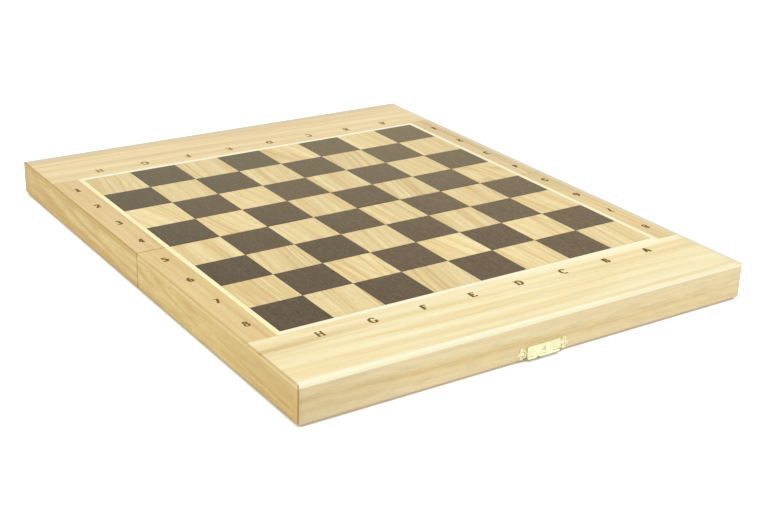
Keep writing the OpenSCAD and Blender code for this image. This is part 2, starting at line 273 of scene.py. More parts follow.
# %% White ground
sheet = bpy.data.materials.new("white ground")
sheet.use_nodes = True
tree = sheet.node_tree
start = Wire(tree)
x, y, _ = object_xyz(start)
camera_ray = start.node("LightPath", out="Is Camera Ray")
air = start.node("AmbientOcclusion", {"samples": 8}, {"Distance": shadow_reach}, out="AO")
glow_now = step(air, 0.1, 0.5) * (camera_ray * (floor_glow - reflected_glow) + reflected_glow)
under = (half_w - x.math("ABSOLUTE") > 0.0) * (half_l - y.math("ABSOLUTE") > 0.0)
rim_shadow = under * (1.0 - step(air, 0.3, 0.8))
matt_white = (floor_white, floor_white, floor_white, 1.0)
# painted shadow: the sheet is tinted a warm grey where it lies under the rims
sheet_colour = blend(start, matt_white, paint("#8a7a52"), rim_shadow * 0.8)
matt = start.node("BsdfDiffuse", sockets={"Color": sheet_colour})
glow = start.node("Emission", sockets={"Color": white, "Strength": glow_now})
# painted light: inside the board's outline the floor glows for the rays from the wood and brass above it
open_floor = start.node("Emission", sockets={"Color": white, "Strength": floor_white})
seen = start.node("AddShader", sockets={0: matt, 1: glow})
shown = start.node("MixShader", sockets={0: white_to_see(start), 1: matt, 2: seen})
from_board = under * (1.0 - camera_ray)
lit = start.node("MixShader", sockets={0: from_board, 1: shown, 2: open_floor})
back = start.node("NewGeometry", out="Backfacing")
both = start.node("MixShader", sockets={0: back, 1: lit, 2: start.node("BsdfTransparent")})
tree.links.new(both.socket, tree.nodes["Material Output"].inputs["Surface"])
mesh.materials.append(sheet)
print("white ground:", len(tree.nodes), "nodes")

# %% [markdown]
# ## How wood is drawn
#
# All the pale wood on the board is oak or much like it. Each board is a slice of a log, so its
# pattern isn't painted on its face but runs right through it, and shows as lines on a face, as arcs
# near the heart and as dots and rings on the end grain. The nodes do the same. They turn a point
# into three numbers: how far it is along the grain, across it, and into the board. The distance
# from the log's heart, in ring widths, then gives the year that the wood grew in.

# %% Place in a board
def board_place(start, node, along, across, tilt=0.0):
    """Metres along the grain, across the face and into the board, from the middle of a CAD node.

    along and across are letters of axes, and the third axis goes into the board. A tilt turns the
    grain on the face: the place across grows by tilt times the place along.
    """
    low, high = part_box(node)
    middle = (low + high) / 2
    axes = {letter: wire - centre for letter, wire, centre in zip("XYZ", object_xyz(start), middle)}
    into = ({"X", "Y", "Z"} - {along, across}).pop()
    return axes[along], axes[across] + axes[along] * tilt, axes[into]


low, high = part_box("front_end_wall")
print("an end wall measures", [round(side / mm, 1) for side in high - low], "mm")

# %% Streaks
def streaks(place, length, width, seed=0.0, detail=2.0):
    """Noise drawn out along the grain: one streak is about that long and that wide, in metres."""
    along, across, into = place
    steps = {0: along * (1 / length) + seed, 1: across * (1 / width), 2: into * (1 / width)}
    spot = along.node("CombineXYZ", sockets=steps)
    return spot.node("TexNoise", {"noise_dimensions": "3D"}, {"Vector": spot, "Scale": 1.0, "Detail": detail})

# %% [markdown]
# A year's wood is pale and open in spring, where it is full of pores, and ends dark and dense. The
# rings aren't perfect circles: a slow noise pushes each point sideways first. `tone` is the broad
# banding that one sees from across a room, and it follows the rings because it is a noise of the
# ring number. Pores are short thin streaks, thickest in the spring wood.

# %% Rings and pores
def ring_noise(years, pace, seed, detail):
    """Noise that changes from ring to ring, and not within the same year's wood."""
    return years.node("TexNoise", {"noise_dimensions": "1D"},
                      {"W": years * pace + seed, "Scale": 1.0, "Detail": detail})


def rings(place, heart, width, wander, taper, seed):
    """The ring number at a point: the root of across and into squared, from the heart, over a ring's width.

    Slow noise pushes the point sideways first. With a taper, the heart also climbs through the
    board as one goes along it, and the lines on the face close into arcs.
    """
    along, across, into = place
    slow = streaks(place, 0.17, 0.035, seed, 1.0) - 0.5
    side = across + slow * wander - heart[0]
    deep = into + slow * (0.5 * wander) + along * taper - heart[1]
    years = (side * side + deep * deep).math("SQRT") * (1 / width)
    return years + ring_noise(years, 0.4, seed * 3.1, 1.0) * 3.0


def ring_parts(years, seed):
    """The spring wood and the dark edge of a ring, and a tone that drifts from ring to ring."""
    part = years.math("FRACT")
    spring = 1.0 - step(part, 0.1, 0.5)
    edge = step(part, 0.4, 0.9) * (1.0 - step(part, 0.93, 1.0))
    drift = ring_noise(years, 0.5, seed * 7.3, 2.0)
    return spring, edge, step(drift, 0.3, 0.7)


def pores(place, spring, seed):
    """Thin dark dashes, dense in the spring wood and few elsewhere."""
    dash = streaks(place, 0.005, 0.00026, seed, 0.0)
    return step(dash, 0.58, 0.74) * (spring * 0.7 + 0.3)

# %% [markdown]
# `timber` puts these together for any of the woods here, from five colours: the pale ground, the
# golden bands, the clouds, the dark edge of a ring and the pores. It gives the colour, a roughness
# that is higher in the pores, and a height for the bump, all from the same masks, so that what
# looks like a pore also catches the light like one.

# %% Timber
def timber(start, place, heart, seed, colours, ring, band, edges, pore,
           patch=(0.022, 0.009), mottle=0.3, fleck=0.05, wander=0.02, taper=0.0):
    """Colour, roughness and height of a wood, from its grain.

    ring and band are widths in metres, and patch is a cloud's length and width. edges, pore, mottle
    and fleck say how much shows of the rings' edges, the pores, the clouds and the flecks.
    """
    ground, gold, cloud, dark, hollow = [paint(code) for code in colours]
    spring, edge, tone = ring_parts(rings(place, heart, ring, wander, taper, seed), seed)
    broad = step(streaks(place, 0.32, band, seed + 2.0, 3.0), 0.33, 0.67)
    comes_and_goes = step(streaks(place, 0.22, 0.018, seed + 4.0, 1.0), 0.36, 0.64)
    flecks = streaks(place, 0.028, 0.0011, seed + 6.0, 2.0)
    clouds = step(streaks(place, *patch, seed + 8.0, 3.0), 0.4, 0.7)
    fibre = streaks(place, 0.009, 0.0004, seed + 9.0, 1.0)
    dashes = pores(place, spring, seed)
    colour = blend(start, ground, gold, broad * 0.6 + tone * 0.4)
    colour = blend(start, colour, cloud, clouds * mottle)
    colour = blend(start, colour, dark, edge * comes_and_goes * edges)
    shade = 1.0 - (flecks - 0.5) * (4 * fleck) - (fibre - 0.5) * 0.08
    colour = blend(start, scaled(colour, shade), hollow, dashes * pore)
    rough = dashes * 0.25 + fibre * 0.12 + 0.36
    height = 0.75 - dashes * 0.7 + edge * 0.15 + fibre * 0.1
    return colour, rough, height

# %% [markdown]
# The wood is lacquered with a satin varnish: a thin clear coat over wood whose pores still show as
# small dents. The principled shader has a coat for that. Constants such as the coat's own roughness
# go straight to their sockets. Only what varies is linked.

# %% Satin lacquer
def lacquered(name, look, *rest, coat=0.4, relief=0.00003):
    """A material under a clear coat, which gives all the gloss.

    Its colour, roughness and bump come from look(start, *rest), and vary.
    """
    material = bpy.data.materials.new(name)
    material.use_nodes = True
    start = Wire(material.node_tree)
    colour, rough, height = look(start, *rest)
    shader = material.node_tree.nodes["Principled BSDF"]
    bump = start.node("Bump", sockets={"Height": height, "Distance": relief, "Strength": 1.0})
    for wire, socket in ((colour, "Base Color"), (rough, "Roughness"), (bump, "Normal")):
        material.node_tree.links.new(wire.socket, shader.inputs[socket])
    shader.inputs["Specular IOR Level"].default_value = 0.0
    shader.inputs["Coat Weight"].default_value = coat
    shader.inputs["Coat Roughness"].default_value = 0.15
    return material

# %% Dressing a node
def dress(node, material):
    """Gives a CAD node its one material."""
    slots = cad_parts[node].data.materials
    slots.clear()
    slots.append(material)
    print(node, "wears", material.name)


def varnish(node, title, look, *rest):
    """Dresses a CAD node in a lacquered wood of its own."""
    dress(node, lacquered(title, look, *rest))

# %% [markdown]
# ## Dark lines
#
# Thin lines are darker than the wood beside them, because varnish and dust gather there: the seam
# between the halves, the four upright corners, the lap between an end wall and a side wall, and the
# joint between the walls and the panel. The rim at the foot of the walls carries painted shade, and
# the far corners are painted greyer as shade. Each of these is a distance from a place that the CAD
# pieces give. `darker` puts any of them together: where two lines meet, the stronger one counts.

# %% Dark lines
lap_y = half_l - abs(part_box("front_left_wall")[0].y)
joint_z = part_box("front_panel")[0].z
panel_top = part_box("front_panel")[1].z
rim_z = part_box("front_end_wall")[0].z
shade_grey = "#5a5a48"
far_shade_grey = "#a0a48c"


def from_outside(start):
    """How far a point is from the nearer side and the nearer end of the board, and its own Y."""
    x, y, _ = object_xyz(start)
    return half_w - x.math("ABSOLUTE"), half_l - y.math("ABSOLUTE"), y


def darker(colour, *lines, stain="#6e501c"):
    """A colour under dark lines. A line is a mask from 0 to 1 and the most of the stain that it shows."""
    shown = None
    for mask, amount in lines:
        shown = mask * amount if shown is None else shown.math("MAXIMUM", mask * amount)
    return tinted(colour, stain, shown)


print("lap", round(lap_y / mm, 2), "mm deep, rim at", round(rim_z / mm, 2), "mm")
print("panel from", round(joint_z / mm, 2), "to", round(panel_top / mm, 2), "mm")

# %% Lines that pieces share
seam_reach = 1.3 * mm
corner_reach = 1.05 * mm
joint_reach = 0.7 * mm


def seam_and_corners(start, seam=0.22):
    """The lines that all the outer pieces share, with how much of the seam's shows."""
    from_side, from_end, y = from_outside(start)
    corner = (from_side * from_side + from_end * from_end).math("SQRT")
    return (close_to(y, seam_reach), seam), (close_to(corner, corner_reach), 0.5)


def joint_line(start):
    """1 along the joint between the walls and the panel."""
    return close_to(object_xyz(start)[2] - joint_z, joint_reach)


def rim_shade(start, reach):
    """1 on the rim, which carries painted shade, and 0 from reach above it on."""
    return close_to(object_xyz(start)[2] - rim_z, reach)


print("line along the seam", round(2 * seam_reach / mm, 1), "mm wide")

# %% [markdown]
# ## Walls
#
# Each wall is one board of oak, and its noise has a seed of its own, because no two boards in a box
# come from the same place in the log. An end wall carries painted light along its upper and lower
# edges, and is browner towards its left end, as one faces it, where it was cut nearer the heart. The
# panel's edge over it carries the same grain on, so the board has a function of its own.

# %% End boards
halves = ("front", "rear")
wall_oak = dict(colours=("#f3e0ad", "#e9ce95", "#d9c898", "#cfaa67", "#a98652"), ring=0.006,
                band=0.005, edges=0.25, pore=0.3, patch=(0.02, 0.004), mottle=0.5)


def end_board(start, half):
    """The grain of an end wall, with painted light along its edges and its browner left end."""
    number = halves.index(half)
    place = board_place(start, f"{half}_end_wall", "X", "Z", 0.012)
    colour, rough, height = timber(start, place, (-0.05, 0.05), 1.3 + number, **wall_oak)
    painted_light_edges = step(place[1].math("ABSOLUTE"), 3 * mm, 9 * mm)
    # painted light along the upper and lower edges
    colour = tinted(colour, "#fff4d2", painted_light_edges * 0.3)
    leftwards = place[0] * (-1.0 if half == "front" else 1.0)
    browner = (step(leftwards, 80 * mm, 180 * mm), 0.17), (step(leftwards, 177 * mm, 184 * mm), 0.23)
    return darker(colour, *browner, stain="#8a6a28"), rough, height


print("rings of the end walls are", wall_oak["ring"] / mm, "mm wide")

# %% [markdown]
# The end walls run the full width and lap the side walls, so a narrow strip of end grain shows at
# each corner, which takes up more varnish and looks more golden. Spots of painted shade lie by the
# clasp, on the wood and the brass: at both ends of its barrel and at one gap between its knuckles.

# %% End walls
shadow_spot_x = (-15.4 * mm, -5.3 * mm, 14.2 * mm)
shadow_spot_w = 2.2 * mm
shadow_spot_h = 2.6 * mm
end_grain_w = 1.0 * mm


def clasp_shadow_spots(start):
    """1 in the middle of each spot of painted shade by the clasp."""
    x, _, z = object_xyz(start)
    spots = sum(close_to(x - middle, shadow_spot_w) for middle in shadow_spot_x)
    return spots * close_to(z - rim_z, shadow_spot_h)


def end_wall(start, half):
    """An end wall: its board, the end grain, painted shade on the rim, by the clasp and at the far corners,
    and the dark lines.
    """
    colour, rough, height = end_board(start, half)
    end_grain = 1.0 - step(from_outside(start)[0], 0.2 * mm, end_grain_w)
    upwards = step(object_xyz(start)[2], 8 * mm, 22 * mm)
    end_colour = blend(start, paint("#dcb269"), paint("#d8ba78"), upwards)
    colour = blend(start, colour, end_colour, end_grain * 0.8)
    if half == "front":
        # painted shade in spots under the ends of the clasp's barrel and at a gap between its knuckles
        colour = tinted(colour, shade_grey, clasp_shadow_spots(start) * 0.7)
    else:
        # painted shade: the end grain at the far corners is greyer
        colour = tinted(colour, far_shade_grey, end_grain * 0.3)
    # painted shade: grey along the rim over the floor
    colour = tinted(colour, shade_grey, rim_shade(start, 1.7 * mm) * 0.08)
    return darker(colour, *seam_and_corners(start)), rough, height


for half in halves:
    varnish(f"{half}_end_wall", f"{half} end wall oak", end_wall, half)

# %% [markdown]
# The side walls are the most golden ones, and the most clouded. The rear ones carry painted shade
# towards the upper edge and the front ones towards the lower edge, and the front ones have a paler
# patch above, by the end of the board. The seam walls between them are cut from the same wood.

# %% Side walls
golden_oak = dict(colours=("#efd898", "#e2c67f", "#d1aa6a", "#c09953", "#957641"), ring=0.007,
                  band=0.005, edges=0.6, pore=0.35, patch=(0.03, 0.004), mottle=0.45,
                  fleck=0.07, wander=0.03, taper=0.1)


def side_wall(start, half, hand):
    """A side wall: its board with painted shade up or down it and by the far end, painted shade on the rim,
    and the dark lines.
    """
    seed = 7.7 + halves.index(half) * 2.0 + (hand == "right") * 1.1
    place = board_place(start, f"{half}_{hand}_wall", "Y", "Z", 0.03)
    colour, rough, height = timber(start, place, (0.03, -0.04), seed, **golden_oak)
    z = object_xyz(start)[2]
    from_end = from_outside(start)[1]
    if half == "front":
        pale_patch = step(z, 7 * mm, 13 * mm) * (1.0 - step(from_end, 50 * mm, 90 * mm))
        colour = tinted(colour, "#fff0b8", pale_patch * 0.11)
        # painted shade towards the lower edge
        shaded = 1.0 - step(z, 4 * mm, 12 * mm)
    else:
        # painted shade: greyer towards the far end
        colour = tinted(colour, far_shade_grey, close_to(from_end, 14 * mm) * 0.3)
        # painted shade towards the upper edge
        shaded = step(z, joint_z - 7 * mm, joint_z - 1 * mm)
    lap = close_to(from_end - lap_y, 0.5 * mm)
    lines = (lap, 0.2), (joint_line(start), 0.16), (shaded, 0.1)
    # painted shade: grey along the rim over the floor
    colour = tinted(colour, shade_grey, rim_shade(start, 2.5 * mm) * 0.36)
    return darker(colour, *seam_and_corners(start), *lines), rough, height


for half in halves:
    for hand in ("left", "right"):
        varnish(f"{half}_{hand}_wall", f"{half} {hand} wall oak", side_wall, half, hand)

# %% Seam walls
def seam_wall(start, half):
    """A seam wall: its board and the joint under the panel."""
    place = board_place(start, f"{half}_seam_wall", "X", "Z", -0.008)
    colour, rough, height = timber(start, place, (0.04, 0.05), 4.1 + halves.index(half), **golden_oak)
    return darker(colour, (joint_line(start), 0.16)), rough, height


for half in halves:
    varnish(f"{half}_seam_wall", f"{half} seam wall oak", seam_wall, half)

# %% [markdown]
# ## Core panels
#
# A thin panel lies over the walls of each half and carries the veneers. Its edge shows down the
# sides as a narrow strip above the walls, with a thin dark line under it. At the ends it was faced
# with the same board as the wall below, so its grain carries on from there and no joint shows.

# %% Panels
highlight_and_pale_wood = "#fff8d4"
panel_oak = {"front": ("#f3da9e", "#e6c885", "#dbb977", "#cfac66", "#9e7e45"),
             "rear": ("#dec47b", "#d1b267", "#c7a159", "#bb9550", "#907139")}


def panel_edge(start, half):
    """Oak by the side that shows: the wall's at the ends, the panel's own down the sides."""
    from_side, from_end, y = from_outside(start)
    z = object_xyz(start)[2]
    side = timber(start, board_place(start, f"{half}_panel", "Y", "X"), (0.3, 0.2), 6.2,
                  colours=panel_oak[half], ring=0.004, band=0.006, edges=0.2, pore=0.2)
    end = end_board(start, half)
    at_end = 1.0 - step(from_end - from_side, -0.5 * mm, 0.5 * mm)
    colour = blend(start, side[0], end[0], at_end)
    # painted highlight on the rounded top edge at the near end
    edge_highlight = at_end * (y * -1.0 > 0.0) * step(z, panel_top - 2.2 * mm, panel_top - 0.7 * mm)
    colour = tinted(colour, highlight_and_pale_wood, edge_highlight)
    joint = joint_line(start) * (1.0 - at_end)
    glue = close_to(z - panel_top, 0.5 * mm)
    return darker(colour, *seam_and_corners(start), (joint, 0.2), (glue, 0.12)), side[1], side[2]


for half in halves:
    varnish(f"{half}_panel", f"{half} panel", panel_edge, half)

# %% [markdown]
# ## Rails
#
# The veneers round the field are wide and calm. Those across the ends are the palest wood on the
# board, with long soft bands of cream and gold. The near one is sanded almost white beside the
# stringing, and along its rounded edge it carries a painted highlight, widest on the left. A golden
# streak runs in from its left end and a pale vein from its right end. Each is a mask of the distance
# from the end of the board, and long streaks of noise break up those that would look too even.

# %% Near end rail
streak_out = 47 * mm
vein_out = 12.5 * mm
beside_w = 9 * mm
highlight_w = 3.5 * mm


def near_end_details(start, colour):
    """The near end rail's golden streak, pale vein with a thin line beside it, sanded band and painted edge
    highlight.
    """
    x, y, z = object_xyz(start)
    from_end = y + half_l
    leftwards = step(x * -1.0, 80 * mm, 170 * mm)
    rightwards = step(x, 20 * mm, 90 * mm)
    ragged = step(streaks((x, y, z), 0.1, 0.003, 73.0), 0.3, 0.7)
    golden = leftwards * close_to(from_end - streak_out + 1 * mm, 15 * mm) * ragged
    streak = leftwards * close_to(from_end - streak_out, 3 * mm)
    colour = tinted(colour, "#c99328", golden * 0.26)
    colour = tinted(colour, "#a08048", streak * 0.3)
    vein = rightwards * close_to(from_end - vein_out, 8 * mm)
    colour = tinted(colour, highlight_and_pale_wood, vein * 0.42)
    colour = tinted(colour, "#a08048", rightwards * close_to(from_end - 4.5 * mm, 2 * mm) * 0.12)
    torn = step(streaks((x, y, z), 0.08, 0.003, 71.0), 0.25, 0.6)
    beside = close_to(end_rail_w - from_end - 3 * mm, beside_w) * torn
    colour = tinted(colour, highlight_and_pale_wood, beside * 0.56)
    # painted highlight along the rounded edge, widest and brightest on the left
    edge = 1.0 - step(from_end + x * 0.006, 1.5 * mm, highlight_w)
    return tinted(colour, "#fffad9", edge * (0.88 - rightwards * 0.25))


print("golden streak", round(streak_out / mm, 1), "mm from the near end")

# %% [markdown]
# The rails down the sides are a little darker. Along the left side the cut edge of the veneer has
# drunk more varnish than its face, and draws a thin brown line. Along the far end and down the right
# side the rails carry a little painted grey shade. The right rails match so well that hardly a line
# shows where they meet, and the near one gets a little darker towards it.

# %% Rail woods
end_oak = dict(colours=("#fff7cc", "#efd593", "#f9e1b3", "#ddbc7c", "#bb9863"), ring=0.008,
               band=0.009, edges=0.35, pore=0.25, patch=(0.06, 0.008), fleck=0.04)
far_oak = dict(end_oak, colours=("#f9e5b5", "#e5c98f", "#ecd4a6", "#d2b072", "#ac8c58"))
near_side = dict(colours=("#efd89d", "#debf7d", "#e4c08e", "#c7a161", "#977843"), ring=0.006,
                 band=0.006, edges=0.35, pore=0.3)
far_left = dict(near_side, colours=("#ebd199", "#dbbb7d", "#e1c18d", "#c7a061", "#987542"))
far_right = dict(near_side, colours=("#e8d3a1", "#d8bc83", "#dec295", "#c4a266", "#967745"))
print("rings", end_oak["ring"] / mm, "mm wide across the ends and", near_side["ring"] / mm, "down the sides")

# %% Rails
# how much of the brown line shows on a rail, where it isn't 0.6
drunk = {"front_end_rail": 0.48, "front_left_rail": 0.22}


def rail(start, node, along, across, heart, seed, wood):
    """A rail: its oak, the brown line along the left side, painted grey shade along the far and right edges,
    and the dark lines.
    """
    colour, rough, height = timber(start, board_place(start, node, along, across, 0.015), heart, seed, **wood)
    if node == "front_end_rail":
        colour = near_end_details(start, colour)
    from_side, from_end, y = from_outside(start)
    far = y > 0.0
    right = object_xyz(start)[0] > 0.0
    near_seam = right * (1.0 - far) * step(y, -75 * mm, -30 * mm)
    colour = tinted(colour, "#d2bd88", near_seam * 0.5)
    # painted shade: grey along the right edge and the far end
    colour = tinted(colour, "#e0dcc8", right * close_to(from_side, 8 * mm) * 0.7)
    colour = tinted(colour, "#ccc6ae", far * close_to(from_end, 14 * mm) * 0.62)
    side_edge = close_to(from_side - 0.2 * mm, 0.9 * mm) * (1.0 - right)
    colour = tinted(colour, "#a87a00", side_edge * drunk.get(node, 0.6))
    seam = 0.04 if "right" in node else 0.22
    return darker(colour, *seam_and_corners(start, seam)), rough, height


end_heart = (0.12, -0.05)
side_heart = (0.07, -0.05)
for number, half in enumerate(halves):
    node = f"{half}_end_rail"
    wood = (end_oak, far_oak)[number]
    varnish(node, f"{half} end rail oak", rail, node, "X", "Y", end_heart, 11.5 + number * 3.0, wood)
    for hand in ("left", "right"):
        node = f"{half}_{hand}_rail"
        seed = 21.3 + number * 2.0 + (hand == "right") * 1.3
        wood = near_side if half == "front" else {"left": far_left, "right": far_right}[hand]
        varnish(node, f"{half} {hand} rail oak", rail, node, "Y", "X", side_heart, seed, wood)

# %% [markdown]
# ## Stringing
#
# The pale line round the field is maple, which is close and even: its pores can't be seen, and it
# has only a faint figure. The strip runs along X beside the end rails and along Y beside the side
# rails, so the grain turns at the corners, where the strips meet in a mitre. Those across the ends
# were cut from whiter wood, and those on the right are creamier than those on the left.

# %% Stringing
def maple(start):
    """Fine, low figure that runs along whichever side of the field is nearer."""
    x, y, z = object_xyz(start)
    end = y.math("ABSOLUTE") > x.math("ABSOLUTE")
    along = x * end + y * (1.0 - end)
    across = y * end + x * (1.0 - end)
    place = (along, across, z)
    soft = streaks(place, 0.06, 0.003, 3.0)
    fine = streaks(place, 0.006, 0.0003, 5.0)
    colour = blend(start, paint("#fffac6"), paint("#fbf0b4"), step(soft, 0.3, 0.75))
    colour = tinted(colour, "#fff8dc", end * 0.75)
    colour = tinted(colour, "#fff2d0", (1.0 - end) * (x > 0.0) * 0.6)
    colour = scaled(colour, fine * 0.08 + 0.96)
    return colour, fine * 0.1 + 0.36, fine


for half in halves:
    varnish(f"{half}_stringing", f"{half} maple", maple)

# %% [markdown]
# ## Squares
#
# Each square was cut from a sheet of veneer on its own, so its grain neither carries on from its
# neighbour nor lies quite square. White noise of the square's row and column gives each one its own
# shift along the sheet, its own small tilt and its own tone. The wenge carries a painted sheen that
# makes it greyer towards the far end and paler towards the right, and the oak is a trace darker
# towards the far end.

# %% One cutting for each square
def cuttings(start, x, y, size, shift, spread, most_tilt):
    """Place in the veneer for a pattern of cuttings, three random numbers for each, and the way to its edge.

    The cell is the floor of x and y over the size of a cutting. Noise of the cell moves the place
    by up to spread metres and turns the grain, which runs along Y, by up to most_tilt.
    """
    column = (x * (1 / size[0])).math("FLOOR")
    row = (y * (1 / size[1])).math("FLOOR")
    cell = start.node("CombineXYZ", sockets={0: column + shift, 1: row + shift})
    own = start.node("TexWhiteNoise", {"noise_dimensions": "2D"}, {"Vector": cell}, out="Color")
    first = start.node("SeparateXYZ", sockets={0: own})
    luck = (first, first.other("Y"), first.other("Z"))
    tilt = (luck[1] - 0.5) * (2 * most_tilt)
    near_x = x - (column + 0.5) * size[0]
    near_y = y - (row + 0.5) * size[1]
    along = near_y + near_x * tilt * -1.0 + luck[0] * spread
    across = near_x + near_y * tilt + luck[2] * spread
    inset = (size[0] / 2 - near_x.math("ABSOLUTE")).math("MINIMUM", size[1] / 2 - near_y.math("ABSOLUTE"))
    return along, across, luck, inset


print("squares on the field:", squares ** 2, "of", round(square / mm, 1), "mm")

# %% Light squares
def light_oak(start):
    """Oak squares: clear streaks of straw and gold, and arcs on those that came from near a heart."""
    x, y, z = object_xyz(start)
    along, across, luck, inset = cuttings(start, x, y, (square, square), 3.0, 0.6, 0.2)
    colour, rough, height = timber(
        start, (along, across, z), (luck[0] * 0.5 + 0.05, 0.04), 31.0,
        colours=("#f8e5ae", "#e1c383", "#e2d399", "#c79f59", "#9a763e"), ring=0.0055, band=0.005,
        edges=0.45, pore=0.35, patch=(0.014, 0.007), mottle=0.4, fleck=0.06, wander=0.035, taper=0.12)
    tone = luck[1] * 0.12 + 0.94 - y * 0.12
    return scaled(colour, tone - close_to(inset, 1.1 * mm) * 0.1), rough, height


light_squares = lacquered("light oak squares", light_oak)
for half in halves:
    dress(f"{half}_light_squares", light_squares)

# %% [markdown]
# The dark squares are wenge, a very dark brown wood with close faint lines, crowded with short
# dashes of a paler brown. The dashes are a second layer of streaks over the rings. The same wood
# makes the dark points of the trays, so it takes its place in the veneer and its tone from outside.

# %% Dark squares
def wenge(start, place, tone):
    """Wenge with its pale dashes, made darker or lighter by its tone."""
    colour, rough, height = timber(
        start, place, (-0.25, 0.1), 41.0, colours=("#5f4c30", "#574427", "#6a5739", "#44351c", "#2e2311"),
        ring=0.0016, band=0.004, edges=0.25, pore=0.3, patch=(0.006, 0.003), mottle=0.5, fleck=0.05)
    paler = step(streaks(place, 0.0035, 0.0009, 43.0, 2.0), 0.42, 0.72)
    return scaled(tinted(colour, "#85724e", paler * 0.4), tone), rough, height


def dark_wenge(start):
    """Wenge squares, greyer towards the far end and paler towards the right as painted sheen, and dark along
    their joints.
    """
    x, y, z = object_xyz(start)
    along, across, luck, inset = cuttings(start, x, y, (square, square), 7.0, 0.6, 0.1)
    colour, rough, height = wenge(start, (along, across, z), luck[1] * 0.14 + 0.93)
    # painted sheen: greyer towards the far end
    colour = tinted(colour, "#85784f", step(y, -0.18, 0.18) * 0.36)
    # painted sheen: paler towards the right; also dark along the joints
    return scaled(colour, x * 1.3 + 1.0 - close_to(inset, 1.0 * mm) * 0.35), rough, height


dark_squares = lacquered("dark wenge squares", dark_wenge)
for half in halves:
    dress(f"{half}_dark_squares", dark_squares)

# %% [markdown]
# ## Backgammon trays
#
# The trays are lined with the same oak, and the points let into it are walnut and wenge in turn,
# with their grain along their length. They face the table here, but they show when the box is
# lifted or seen from below. One cutting is one point: the pitch of the points takes the place of
# the square.

# %% Tray linings
tray_wood = dict(colours=("#ecd8a2", "#dec082", "#e0cc94", "#c9a163", "#94713f"), ring=0.0055,
                 band=0.008, edges=0.4, pore=0.35)


def tray_oak(start, node):
    """The lining of a tray, with its grain along X."""
    return timber(start, board_place(start, node, "X", "Y", 0.01), (0.2, 0.12), 51.0, **tray_wood)


for half in halves:
    varnish(f"{half}_ground", f"{half} tray oak", tray_oak, f"{half}_ground")

# %% Points
walnut_wood = dict(colours=("#94684a", "#774b30", "#84583c", "#593420", "#3a2316"), ring=0.0034,
                   band=0.004, edges=0.6, pore=0.5)
wall_t = 9 * mm
points_a_side = 6
tray_start = -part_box("front_ground")[1].y
point_pitch = (half_l - wall_t - tray_start) / points_a_side
print("pitch of the points", round(point_pitch / mm, 2), "mm")


def point_place(start, half, shift):
    """Place in the veneer of one point, which runs along X, and its three random numbers."""
    x, y, z = object_xyz(start)
    from_tray = y + tray_start if half == "front" else y - tray_start
    along, across, luck, _ = cuttings(start, x, from_tray, (half_w, point_pitch), shift, 0.8, 0.03)
    return (across, along, z), luck


def walnut_point(start, half):
    """Walnut, with a tone of its own for each point."""
    place, luck = point_place(start, half, 13.0)
    colour, rough, height = timber(start, place, (-0.3, 0.1), 61.0, **walnut_wood)
    return scaled(colour, luck[1] * 0.16 + 0.92), rough, height


def wenge_point(start, half):
    """Wenge, with a tone of its own for each point."""
    place, luck = point_place(start, half, 17.0)
    return wenge(start, place, luck[1] * 0.2 + 0.9)


for half in halves:
    varnish(f"{half}_brown_points", f"{half} walnut points", walnut_point, half)
    varnish(f"{half}_dark_points", f"{half} wenge points", wenge_point, half)

# %% [markdown]
# ## Brass
#
# The hinges are rolled brass, left as they come, with long fine lines from the rolls, and their
# screws are a browner brass. The clasp is thinner brass, brighter and paler, with clouds in its
# polish, and painted shade along the foot of its barrel. The ears that carry the nails are darker
# round the nail heads and in spots, and the stamped domes on them are rubbed bright. All of it is
# metal, so its colour shows in what it reflects, and the room is white.

# %% Brass
def brass(start, bright, dull, rough):
    """Rolled metal: lines along X in the gloss, and slow clouds of dulled colour."""
    place = object_xyz(start)
    lines = streaks(place, 0.01, 0.0002, 3.0, 3.0)
    cloud = streaks(place, 0.004, 0.004, 0.0, 3.0)
    colour = blend(start, paint(bright), paint(dull), step(cloud, 0.42, 0.72) * 0.5)
    return colour, lines * 0.14 + cloud * 0.1 + rough, lines


def metal(name, look, *rest):
    """A bare metal: no coat, and hardly any relief."""
    material = lacquered(name, look, *rest, coat=0.0, relief=0.000004)
    shader = material.node_tree.nodes["Principled BSDF"]
    shader.inputs["Metallic"].default_value = 1.0
    shader.inputs["Specular IOR Level"].default_value = 0.5
    return material


polished_brass = metal("polished brass", brass, "#fffbd0", "#f4ecb0", 0.25)
hinge_brass = metal("hinge brass", brass, "#e0c47c", "#bd9a54", 0.2)
screw_brass = metal("screw brass", brass, "#c9a763", "#94723c", 0.3)
print("brasses:", [made.name for made in (polished_brass, hinge_brass, screw_brass)])

# %% Clasp
ear_x = 16.9 * mm
ear_z = 6.45 * mm
nail_head_r = 1.5 * mm


def clasp_metal(start):
    """Pale brass, darker round each nail head and in spots on the ear, with painted shade along the foot of
    the barrel and in spots at its ends and by its knuckles.
    """
    colour, rough, lines = brass(start, "#fefdd9", "#f2ebb4", 0.4)
    x, y, z = object_xyz(start)
    aside = x.math("ABSOLUTE") - ear_x
    from_nail = (aside * aside + (z - ear_z) * (z - ear_z)).math("SQRT")
    nail_ring = close_to(from_nail - nail_head_r, 0.9 * mm)
    ear = step(aside, -3.2 * mm, -2.4 * mm)
    uneven = step(streaks((x, y, z), 0.0012, 0.0012, 11.0), 0.4, 0.6)
    barrel_foot_shade = close_to(z - rim_z, 1.7 * mm)
    # painted shade along the barrel's foot and in the spots by the clasp; darker round the nail heads and in
    # spots on the ears
    dull = (nail_ring * uneven, 0.5), (ear * uneven, 0.16), (barrel_foot_shade, 0.6), (clasp_shadow_spots(start), 0.95)
    return darker(colour, *dull, stain="#6a5c2a"), rough, lines


clasp_brass = metal("clasp brass", clasp_metal)
print("clasp wears", clasp_brass.name)

